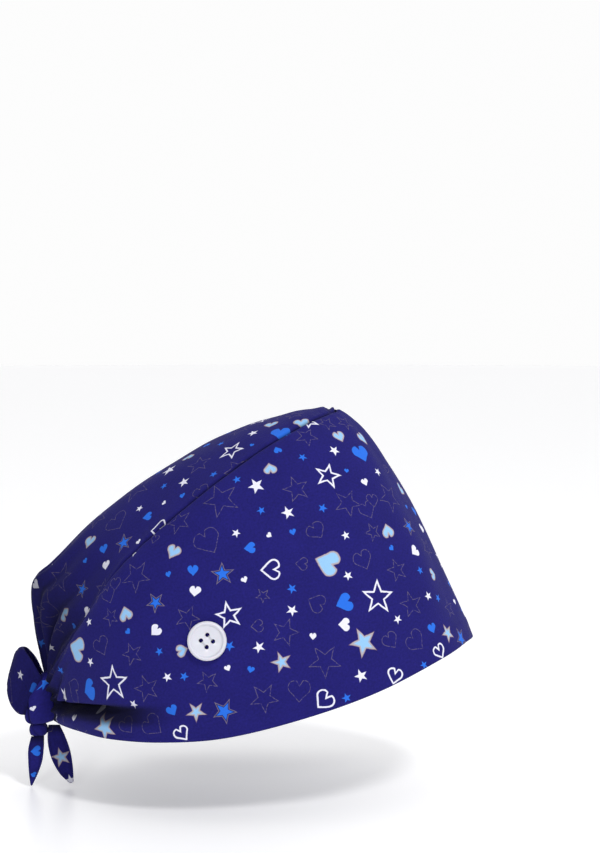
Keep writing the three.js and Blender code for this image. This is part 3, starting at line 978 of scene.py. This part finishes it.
def plastic_material(name, base):
    """Glossy moulded button plastic with faint swirls."""
    material, tree, shader = new_material(name)
    where = tree.nodes.new("ShaderNodeTexCoord").outputs["Object"]
    swirl = noise(tree, where, 140, 3.0)
    fine = noise(tree, where, 900, 2.0)
    shade = (swirl * 0.5 + fine * 0.12).clamped()
    tree.links.new(mixed(tree, shade, scaled(base, 0.9), linear(base)), shader.inputs["Base Color"])
    tree.links.new((fine * 0.16 + 0.3).socket, shader.inputs["Roughness"])
    shader.inputs["Coat Weight"].default_value = 0.25
    shader.inputs["Coat Roughness"].default_value = 0.2
    shader.inputs["Subsurface Weight"].default_value = 0.08
    shader.inputs["Subsurface Scale"].default_value = 0.002
    add_bump(tree, shader, swirl * 0.6 + fine * 0.4, 0.25, 0.05)
    return material


def thread_material(name, base):
    """Twisted sewing thread."""
    material, tree, shader = new_material(name)
    where = tree.nodes.new("ShaderNodeTexCoord").outputs["Object"]
    fibre = noise(tree, where, 2500, 3.0)
    tree.links.new(mixed(tree, fibre, scaled(base, 0.6), linear(base)), shader.inputs["Base Color"])
    shader.inputs["Roughness"].default_value = 0.75
    add_bump(tree, shader, fibre, 1, 0.08)
    return material


print_face = cloth_material("printed_cotton", CLOTH, 1.0, 0.02)
print_reverse = cloth_material("printed_cotton_reverse", CLOTH_REVERSE, 0.3, 0.02)
button_plastic = plastic_material("button_plastic", BUTTON_COLOUR)
button_thread = thread_material("button_thread", THREAD_COLOUR)

# ---------------------------------------------------------------- panels of the cap

CLOTH_WALL = 0.9
HEM = 10
HEM_EXTRA = 0.6
ALLOWANCE_SHADE = 0.8


def panel_wall(grid, edge_height=None):
    """Cloth thickness over a grid; the hem is folded in and so is thicker."""
    wall = np.full(grid.shape[:2], CLOTH_WALL)
    if edge_height is not None:
        wall = wall + HEM_EXTRA * (1 - smooth((edge_height - HEM) / 0.8))
    return wall


def allowance_depth(place):
    """Seam allowances are shallow at the apex, where deep ones would break through the fold."""
    return 0.12 + 0.88 * smooth(place / 0.8)


plain, outer, signed, band_dark = band_grid()
flat = flat_cloth(plain, 4, 6)
button_column = int(np.argmin(np.abs(signed + BUTTON["station"])))
button_row = int(np.argmin(np.abs(travelled(plain[button_column]) - BUTTON["height"])))
level = level_direction(plain, flat, button_column, button_row)
grain = math.degrees(math.atan2(level[1], level[0])) + GRAIN_TURN
band_chart = turned(flat - flat[button_column, button_row], -grain) - np.array(PRINT_SHIFT)
heights = climbed(plain)
near_apex = allowance_depth(np.abs(signed))
outer, band_chart = with_turned_edges(outer, band_chart, ["last"], near_apex)
heights = np.concatenate([heights, np.repeat(heights[:, -1:], len(TURNED_ROWS), 1)], 1)
band_dark = np.concatenate([band_dark, np.full((len(band_dark), len(TURNED_ROWS)), ALLOWANCE_SHADE)], 1)
materials = (print_face, print_reverse)
band = shell("band_cloth", outer, band_chart, band_dark, panel_wall(outer, heights), materials, {
    "outside": [(0.005, 0.65, 0.995, 0.995), (0.005, 0.30, 0.995, 0.645)],
    "inside": [(0.005, 0.175, 0.995, 0.292), (0.005, 0.05, 0.995, 0.167)],
    "edges": (0.005, 0.005, 0.995, 0.045),
})

# Where the crown panel was cut from the cloth: two points of it and what they have of the print.
#   place, across, x, y
CROWN_ANCHORS = [(4.53, -0.68, 81, 59), (3.48, -0.92, 106, 66)]


def anchored(flat, place, anchors):
    """Turns and shifts the flat crown panel so that two of its points lie on the print as given."""
    across = np.linspace(1, -1, flat.shape[1])
    ends = []
    for at, over, _, _ in anchors:
        column, row = np.argmin(np.abs(place - at)), np.argmin(np.abs(across - over))
        ends.append(flat[column, row])
    from_to, on_print = ends[1] - ends[0], np.subtract(anchors[1][2:], anchors[0][2:])
    turn = math.atan2(on_print[1], on_print[0]) - math.atan2(from_to[1], from_to[0])
    return turned(flat - ends[0], math.degrees(turn)) + np.array(anchors[0][2:])


plain, outer, place, crown_dark = crown_grid()
flat = flat_cloth(plain, 3, 6)
crown_chart = anchored(flat, place, CROWN_ANCHORS)
near_apex = allowance_depth(place)
outer, crown_chart = with_turned_edges(outer, crown_chart, ["first", "last"], near_apex)
edge_dark = np.full((len(crown_dark), len(TURNED_ROWS)), ALLOWANCE_SHADE)
crown_dark = np.concatenate([edge_dark, crown_dark, edge_dark], 1)
crown = shell("crown_cloth", outer, crown_chart, crown_dark, panel_wall(outer), materials, {
    "outside": [(0.005, 0.40, 0.995, 0.995)],
    "inside": [(0.005, 0.05, 0.995, 0.392)],
    "edges": (0.005, 0.005, 0.995, 0.045),
})

# ---------------------------------------------------------------- the tie

STRAP_STEPS = 18
STRAP_SIDES = 40
TURN_STEPS = 12
TURN_SIDES = 72
SQUARENESS = 0.72
# The hidden face of a strap has the print from this far along the cloth, in millimetres.
FACE_SHIFT = 60


def spline(table, count):
    """Smooth curve through the first three columns of a strap's table."""
    points = np.array([row[:3] for row in table], float)
    place = np.linspace(0, len(points) - 1, count)
    return curve(continued(points), place), place


def blended(table, columns, name, place):
    """Smooth curve through one column of a table."""
    return curve(continued(column_of(table, columns, name)), place)


def lofted(name, rings, cloth, shade, material):
    """Closed body through rings of points, with a fan over each end."""
    count, sides = rings.shape[:2]
    points = rings.reshape(-1, 3)
    ends = np.stack([rings[0].mean(0), rings[-1].mean(0)])
    total, edge = len(points), np.arange(sides)
    on = (edge + 1) % sides
    low = np.stack([on, edge, np.full(sides, total)], 1)
    start = (count - 1) * sides
    high = np.stack([start + edge, start + on, np.full(sides, total + 1)], 1)
    faces = ring_faces(count, sides) + low.tolist() + high.tolist()
    obj = mesh_object(name, np.concatenate([points, ends]), faces, material)
    chart = np.concatenate([cloth.reshape(-1, 2), cloth[0].mean(0)[None], cloth[-1].mean(0)[None]])
    print_on(obj, chart, np.concatenate([shade.ravel(), [shade[0].mean(), shade[-1].mean()]]))
    return obj


def strap(name, table, on_print, turn, seed, rounding=0, dark_ends=(0.8, 0), dim=0):
    """Folded cloth strap with turned edges and a slightly crumpled face.

    rounding pulls the edges of its middle back towards its ends, in millimetres. dark_ends is
    the shadow at its first and last end, where it comes out of a knot, and dim is the least
    shadow anywhere on it.
    """
    centre, place = spline(table, (len(table) - 1) * STRAP_STEPS + 1)
    angle = np.radians(blended(table, STRAP_COLUMNS, "wide", place))
    wide = np.stack([np.cos(angle), 0 * angle, np.sin(angle)], -1)
    tangent = np.gradient(centre, axis=0)
    flat = unit(np.cross(tangent, wide))
    width = blended(table, STRAP_COLUMNS, "width", place)[:, None]
    thick = blended(table, STRAP_COLUMNS, "thick", place)[:, None]
    around = 2 * np.pi * (np.arange(STRAP_SIDES) + 0.5) / STRAP_SIDES
    c, s = np.cos(around)[None], np.sin(around)[None]
    across = np.sign(c) * np.abs(c) ** 0.5
    along = travelled(centre)[:, None]
    fold = 1 - 0.28 * hump((np.abs(across) - 0.72) / 0.12)
    height = np.sign(s) * np.abs(s) ** 0.42 * fold * thick / 2
    crumple = undulation(along, across * width / 2, seed, 9, 0.22)
    height = height + crumple * (1 - np.abs(across) ** 4)
    rings = centre[:, None] + wide[:, None] * (across * width / 2)[..., None]
    rings = rings + flat[:, None] * height[..., None]
    share = (place / place[-1])[:, None]
    back = unit(centre[0] - centre[len(centre) // 2])
    rings = rings + back * (rounding * np.abs(across) ** 5 * hump((share - 0.5) / 0.5))[..., None]
    shade = dark_ends[0] * (1 - smooth(share / 0.25)) + dark_ends[1] * (1 - smooth((1 - share) / 0.25))
    valleys = np.clip(-crumple / 0.4, 0, 1) * 0.5
    shade = np.maximum(shade + 0 * across, np.maximum(valleys, 0.5 * (fold < 0.9)))
    shade = np.maximum(shade, dim)
    cloth = np.stack([across * width / 2 + np.where(s < 0, FACE_SHIFT, 0), along + 0 * across], -1)
    cloth = turned(cloth, turn) + np.array(on_print)
    return lofted(name, rings, cloth, shade, print_face)


def turn_of_cloth(name, table, on_print, pleats, seed):
    """Cloth wrapped round and pulled tight: level rings with pleats that slant round them."""
    place = np.linspace(0, len(table) - 1, (len(table) - 1) * TURN_STEPS + 1)
    around = 2 * np.pi * (np.arange(TURN_SIDES) + 0.5) / TURN_SIDES
    value = {n: blended(table, TURN_COLUMNS, n, place)[:, None] for n in TURN_COLUMNS}
    c, s = np.cos(around)[None], np.sin(around)[None]
    x = np.sign(c) * np.abs(c) ** SQUARENESS
    y = np.sign(s) * np.abs(s) ** SQUARENESS
    depth = np.zeros((len(place), len(around)))
    share = (place / place[-1])[:, None]
    for at, slant, deep, half_width in pleats:
        gap = np.degrees(around)[None] - at - slant * (share - 0.5)
        gap = (gap + 180) % 360 - 180
        depth += deep * hump(gap / half_width) * smooth(share / 0.12) * smooth((1 - share) / 0.12)
    crumple = undulation(np.degrees(around)[None] * 0.1, share * 20, seed, 9, 0.2)
    swell = 1 - (depth - crumple) / 6
    rings = np.stack([
        value["x"] + x * value["deep"] / 2 * swell,
        value["y"] + y * value["broad"] / 2 * swell,
        value["z"] + x * value["deep"] / 2 * value["rise"],
    ], -1)[:, ::-1]
    girth = np.degrees(around)[None] * 0.13 + 0 * share
    cloth = np.stack([girth, value["z"] + 0 * girth], -1)[:, ::-1] + np.array(on_print)
    shade = np.clip(depth / 1.1, 0, 1) * 0.85
    shade = np.maximum(shade, 0.8 * (1 - smooth((1 - share) / 0.12)))
    return lofted(name, rings, cloth, shade[:, ::-1], print_face)


#   at      degrees round from +X where a pleat lies, halfway down
#   slant   how far it turns from top to bottom, degrees
KNOT_PLEATS = [
    (222, 14, 0.9, 12), (318, 10, 0.9, 14), (160, -30, 1.0, 16), (110, -26, 1.0, 15), (70, -30, 0.9, 15),
]
COLLAR_PLEATS = [(250, 60, 0.5, 14), (120, 50, 0.5, 14)]

loop = strap("tie_loop_cloth", LOOP, (-26, 10), 20, 31, rounding=3.5, dark_ends=(0.9, 0.9), dim=0.5)
outer_tail = strap("tie_tail_outer_cloth", OUTER_TAIL, (10.4, 32.8), 80.5, 32)
inner_tail = strap("tie_tail_inner_cloth", INNER_TAIL, (40.5, -34.3), 38.5, 33, dark_ends=(0.95, 0),
                   dim=0.2)
knot = turn_of_cloth("tie_knot_cloth", KNOT, (-27.5, -3), KNOT_PLEATS, 34)
collar = turn_of_cloth("tie_collar_cloth", COLLAR, (10, 20), COLLAR_PLEATS, 35)

# ---------------------------------------------------------------- the buttons

LATHE_SIDES = 128


def lathe(name, profile, material):
    around = 2 * np.pi * np.arange(LATHE_SIDES) / LATHE_SIDES
    profile = np.array(profile, float)
    rings = np.stack([
        profile[:, :1] * np.cos(around), profile[:, :1] * np.sin(around),
        profile[:, 1:] + 0 * around,
    ], -1)
    return capped(name, rings, material)


def arc(centre_x, centre_y, radius, start, end, steps=6):
    turn = np.radians(np.linspace(start, end, steps))
    return [(centre_x + radius * math.cos(t), centre_y + radius * math.sin(t)) for t in turn]


def button_profile():
    b = BUTTON
    edge, top = b["edge_round"], b["thickness"]
    floor = top - b["dish_depth"]
    crest = b["radius"] - b["rim_width"]
    profile = [(0.05, 0), (b["radius"] - edge, 0)]
    profile += arc(b["radius"] - edge, edge, edge, -70, 0, 5)
    profile += arc(b["radius"] - edge, top - edge, edge, 0, 90, 8)
    profile += arc(crest + 0.25, top - 0.5, 0.5, 95, 165, 5)
    profile += [(b["dish_radius"] + 0.25, floor + 0.12), (b["dish_radius"], floor)]
    profile += [(b["dish_radius"] - 0.4, floor - 0.02), (0.05, floor)]
    return profile


def rod(name, start, end, radius, material, sides=16):
    """Straight rod with rounded ends."""
    start, end = np.array(start, float), np.array(end, float)
    axis = unit(end - start)
    side = unit(np.cross(axis, [0.3, 0.2, 0.9]))
    other = np.cross(axis, side)
    around = 2 * np.pi * np.arange(sides) / sides
    ring = side * np.cos(around)[:, None] + other * np.sin(around)[:, None]
    caps = [(-0.8, 0.5), (-0.4, 0.85), (0, 1)]
    rings = [start + axis * a * radius + ring * b * radius for a, b in caps]
    rings += [end - axis * a * radius + ring * b * radius for a, b in caps[::-1]]
    return capped(name, np.array(rings), material)


def applied(obj):
    """Applies the piece's modifiers to its mesh."""
    graph = bpy.context.evaluated_depsgraph_get()
    mesh = bpy.data.meshes.new_from_object(obj.evaluated_get(graph))
    obj.modifiers.clear()
    obj.data = mesh
    return obj


def hole_places():
    turns = [math.radians(BUTTON["hole_turn"] + 90 * k) for k in range(4)]
    return [(BUTTON["hole_circle"] * math.cos(t), BUTTON["hole_circle"] * math.sin(t)) for t in turns]


def drilled_button(name):
    obj = lathe(name, button_profile(), button_plastic)
    for x, y in hole_places():
        drill = rod("drill", (x, y, -4), (x, y, 8), BUTTON["hole_radius"], button_plastic, sides=28)
        cut = obj.modifiers.new("hole", "BOOLEAN")
        cut.object, cut.operation, cut.solver = drill, "DIFFERENCE", "EXACT"
        applied(obj)
        bpy.data.objects.remove(drill)
    bevel = obj.modifiers.new("hole_edges", "BEVEL")
    bevel.width, bevel.segments, bevel.limit_method = 0.18 * MM, 3, "ANGLE"
    bevel.angle_limit = math.radians(50)
    applied(obj)
    for polygon in obj.data.polygons:
        polygon.use_smooth = True
    return obj


def button_thread_stitches(name):
    """Two double stitches, each through a pair of holes."""
    floor = BUTTON["thickness"] - BUTTON["dish_depth"]
    places = hole_places()
    pieces = []
    for first, second in ((0, 1), (3, 2)):
        (ax, ay), (bx, by) = places[first], places[second]
        for shift in (-0.24, 0.24):
            dx, dy = by - ay, ax - bx
            size = math.hypot(dx, dy)
            ox, oy = dx / size * shift, dy / size * shift
            ux, uy = (bx - ax) / size * 0.8, (by - ay) / size * 0.8
            start = (ax + ox + ux, ay + oy + uy, floor + 0.06)
            end = (bx + ox - ux, by + oy - uy, floor + 0.06)
            pieces.append(rod(name, start, end, 0.15, button_thread, sides=10))
    with bpy.context.temp_override(active_object=pieces[0], selected_editable_objects=pieces):
        bpy.ops.object.join()
    return pieces[0]


def button_frame(side):
    """Place of a button's back on the cloth, with its Z out of the cap."""
    step = 0.1
    station = BUTTON["station"]
    lines = band_lines(np.array([station, station + step]))
    centre = at_lengths(lines[0], lambda _: np.array([BUTTON["height"]]))[0][0]
    rise_to = at_lengths(lines[0], lambda _: np.array([BUTTON["height"] + 1]))[0][0]
    back = at_lengths(lines[1], lambda _: np.array([BUTTON["height"]]))[0][0]
    normal = unit(np.cross(back - centre, rise_to - centre))
    if side < 0:
        centre, normal = centre * [1, -1, 1], normal * [1, -1, 1]
    up = unit(np.array([0, 0, 1.0]) - normal[2] * normal)
    level_axis = np.cross(up, normal)
    place = centre + normal * PIECE_GAP
    matrix = Matrix(np.column_stack([level_axis, up, normal]).tolist()).to_4x4()
    matrix.translation = Vector(place * MM)
    return matrix


def transformed(obj, matrix):
    obj.data.transform(matrix)
    return obj


buttons = []
for side_name, side in (("right", -1), ("left", 1)):
    matrix = button_frame(side)
    body = transformed(drilled_button(f"button_{side_name}_plastic"), matrix)
    stitches = transformed(button_thread_stitches(f"button_{side_name}_thread"), matrix)
    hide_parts(f"button_{side_name}")
    buttons += [body, stitches]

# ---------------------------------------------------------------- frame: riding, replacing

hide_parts("band_panel")
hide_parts("crown_panel")
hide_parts("tie_loop")
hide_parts("tie_tail_outer")
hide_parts("tie_tail_inner")
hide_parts("tie_knot")
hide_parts("tie_collar")
for piece in (band, crown, loop, outer_tail, inner_tail, knot, collar):
    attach(piece, "root")
for piece in buttons:
    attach(piece, "root")

# ---------------------------------------------------------------- floor, light and camera

FLOOR_DROP = 0.0006
FLOOR_RADIUS = 4000
FLOOR_SIDES = 96


def floor():
    tail_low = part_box("tie_tail_outer")[0][2]
    around = np.linspace(0, 2 * np.pi, FLOOR_SIDES + 1)[:-1]
    points = FLOOR_RADIUS * np.stack([np.cos(around), np.sin(around), 0 * around], -1)
    material, _, shader = new_material("floor_white")
    shader.inputs["Base Color"].default_value = (0.9, 0.9, 0.91, 1)
    shader.inputs["Roughness"].default_value = 0.35
    shader.inputs["Emission Color"].default_value = (1, 1, 1, 1)
    shader.inputs["Emission Strength"].default_value = 0.24
    obj = mesh_object("floor", points, [list(range(FLOOR_SIDES))], material)
    obj.location.z = tail_low - FLOOR_DROP


def area_light(name, at, towards, size, watts):
    lamp = bpy.data.lights.new(name, "AREA")
    lamp.shape, lamp.size, lamp.energy = "DISK", size, watts
    obj = added(name, lamp)
    obj.location = at
    obj.rotation_euler = (Vector(towards) - Vector(at)).to_track_quat("-Z", "Y").to_euler()


def studio():
    world = bpy.context.scene.world or bpy.data.worlds.new("studio")
    bpy.context.scene.world = world
    world.use_nodes = True
    tree = world.node_tree
    background = tree.nodes["Background"]
    ways = tree.nodes.new("ShaderNodeSeparateXYZ")
    tree.links.new(tree.nodes.new("ShaderNodeTexCoord").outputs["Generated"], ways.inputs[0])
    forwards, across = Term(tree, ways.outputs[0]), Term(tree, ways.outputs[1])
    lit = ((forwards + 0.85) / 0.65).clamped()
    lit = lit * ((across + 0.9) / 0.8).clamped()
    tree.links.new(mixed(tree, lit, (0.1, 0.1, 0.12, 1), (1, 1, 1, 1)), background.inputs[0])
    background.inputs[1].default_value = 0.98
    target = (0, 0, 0.04)
    area_light("key_light", (0.6, -1.2, 1.45), target, 0.35, 17)
    area_light("low_light", (-0.4, -1.7, 0.6), target, 0.2, 7)


def photo_camera():
    """The camera of the view: level with the brow, a little above it, seen from the right side."""
    lens = bpy.data.cameras.new("view")
    lens.sensor_fit, lens.sensor_width = "HORIZONTAL", 36
    lens.lens = 134
    obj = added("view", lens)
    obj.location = (0.01751, -1.13584, 0.2236)
    obj.rotation_euler = (math.radians(85.3), 0, 0)
    bpy.context.scene.camera = obj


floor()
studio()
photo_camera()
bpy.context.scene.view_settings.view_transform = "Standard"

bpy.context.view_layer.update()
